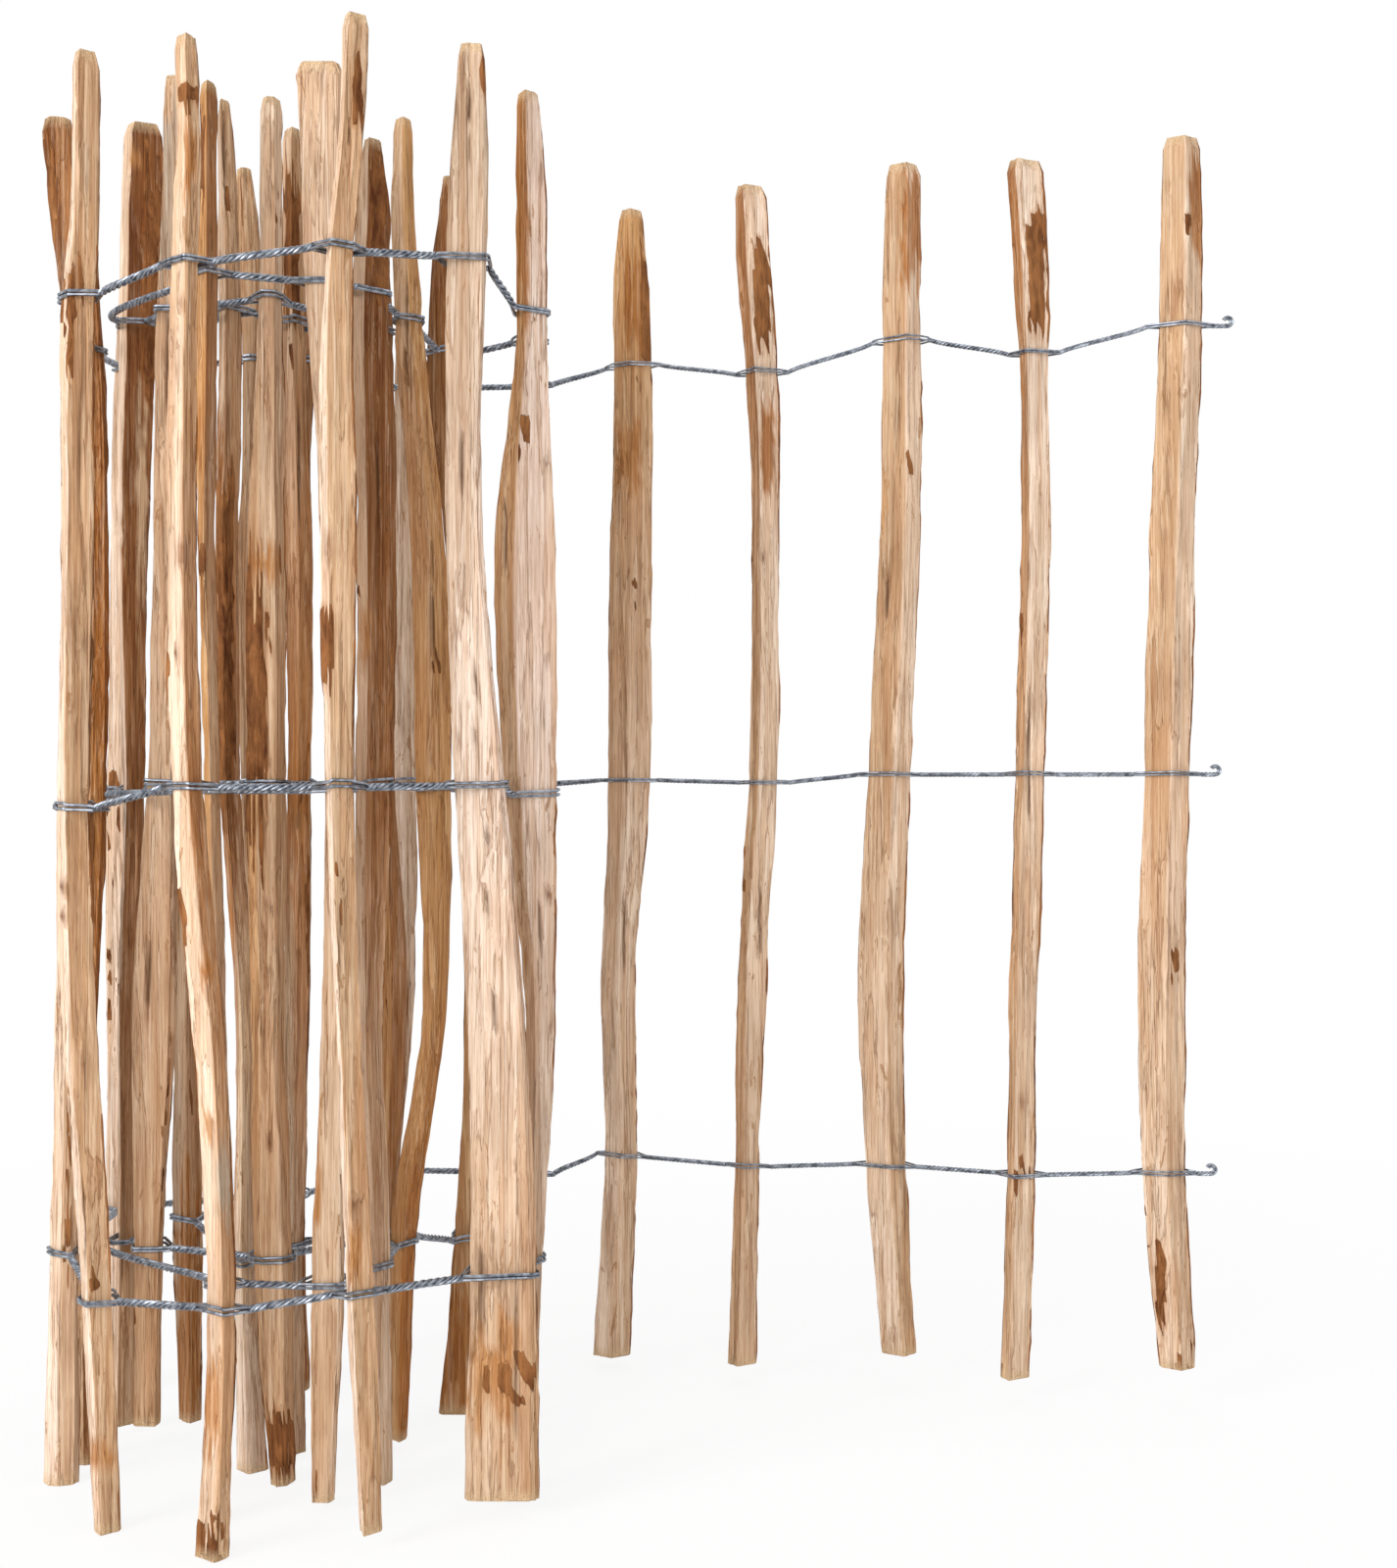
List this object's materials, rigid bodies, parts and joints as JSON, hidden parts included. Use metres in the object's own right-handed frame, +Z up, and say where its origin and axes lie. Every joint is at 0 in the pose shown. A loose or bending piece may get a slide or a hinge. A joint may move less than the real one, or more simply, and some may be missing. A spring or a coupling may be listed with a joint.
{
  "type": "rolled split stake fence",
  "caption": "Freestanding roll of split hazel stake fencing, joined by rows of twisted galvanised wire and partly unrolled at one end.",
  "frame": {"origin": "bottom centre of the bounding box, on the ground the stakes stand on", "axes": "+Z up along the stakes, front towards -Y, the unrolled end reaches towards +X"},
  "size_m": [0.84, 0.4226, 0.931],
  "materials": {
    "split_wood": "rough split and partly barked",
    "pale_wood": "rough split, weathered pale",
    "galvanised_wire": "bright galvanised"
  },
  "bodies": {
    "root": {"stake_01": "split_wood", "stake_02": "split_wood", "stake_03": "split_wood", "stake_04": "split_wood", "stake_05": "split_wood", "stake_06": "split_wood", "stake_07": "pale_wood", "stake_08": "split_wood", "stake_09": "split_wood", "stake_10": "pale_wood", "stake_11": "split_wood", "stake_12": "split_wood", "stake_13": "split_wood", "stake_14": "split_wood", "stake_15": "split_wood", "stake_16": "pale_wood", "stake_17": "split_wood", "stake_18": "split_wood", "stake_19": "split_wood", "stake_20": "split_wood", "stake_21": "split_wood", "stake_22": "pale_wood", "stake_23": "split_wood", "stake_24": "split_wood", "stake_25": "split_wood", "stake_26": "split_wood", "stake_27": "split_wood", "stake_28": "split_wood", "stake_29": "split_wood", "stake_30": "split_wood", "wire_row_bottom": "galvanised_wire", "wire_row_middle": "galvanised_wire", "wire_row_top": "galvanised_wire"}
  },
  "joints": []
}
